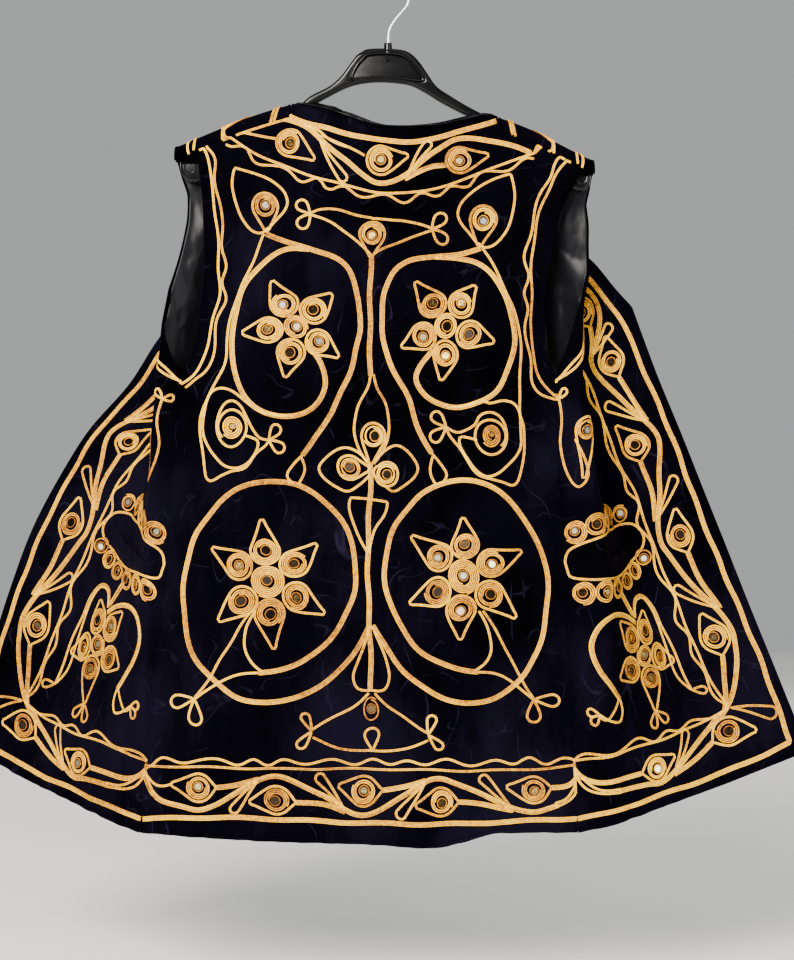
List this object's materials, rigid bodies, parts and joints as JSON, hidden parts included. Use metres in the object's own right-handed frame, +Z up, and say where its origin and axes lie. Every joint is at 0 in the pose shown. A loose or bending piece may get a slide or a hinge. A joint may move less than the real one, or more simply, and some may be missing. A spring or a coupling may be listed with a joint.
{
  "type": "embroidered folk vest on a clothes hanger",
  "caption": "Sleeveless open-front velvet folk vest with couched gold cord and small round mirrors, satin lined, hung back to the viewer on a plastic hanger with a wire hook.",
  "frame": {"origin": "inside of the top of the hook, where it hangs on a rail", "axes": "+Z up, -Y out of the vest's back (the side seen), +X to the wearer's right as seen from -Y"},
  "size_m": [0.8821, 0.1727, 0.873],
  "materials": {
    "velvet": "near-black navy velvet, crushed pile with blue-violet sheen",
    "black_satin": "glossy black satin lining",
    "gold_cord": "couched twisted metallic gold cord",
    "hanger_plastic": "black moulded plastic, soft gloss",
    "hook_steel": "bright drawn steel wire"
  },
  "bodies": {
    "root": {"back": "velvet", "embroidery_armhole_left": "gold_cord", "embroidery_armhole_right": "gold_cord", "embroidery_front_left_inner": "gold_cord", "embroidery_front_left_outer": "gold_cord", "embroidery_front_right_inner": "gold_cord", "embroidery_front_right_outer": "gold_cord", "embroidery_hem_inner": "gold_cord", "embroidery_hem_outer": "gold_cord", "embroidery_neck": "gold_cord", "embroidery_ring_lower_left": "gold_cord", "embroidery_ring_lower_right": "gold_cord", "embroidery_ring_upper_left": "gold_cord", "embroidery_ring_upper_right": "gold_cord", "embroidery_star_lower_left": "gold_cord", "embroidery_star_lower_right": "gold_cord", "embroidery_star_trefoil": "gold_cord", "embroidery_star_upper_left": "gold_cord", "embroidery_star_upper_right": "gold_cord", "embroidery_stem_lower": "gold_cord", "embroidery_stem_upper": "gold_cord", "embroidery_yoke": "gold_cord", "front_left": "velvet", "front_right": "velvet", "hanger": "hanger_plastic", "hook": "hook_steel", "lining_back": "black_satin", "lining_front_left": "black_satin", "lining_front_right": "black_satin", "pocket_left": "velvet", "pocket_right": "velvet"}
  },
  "joints": []
}
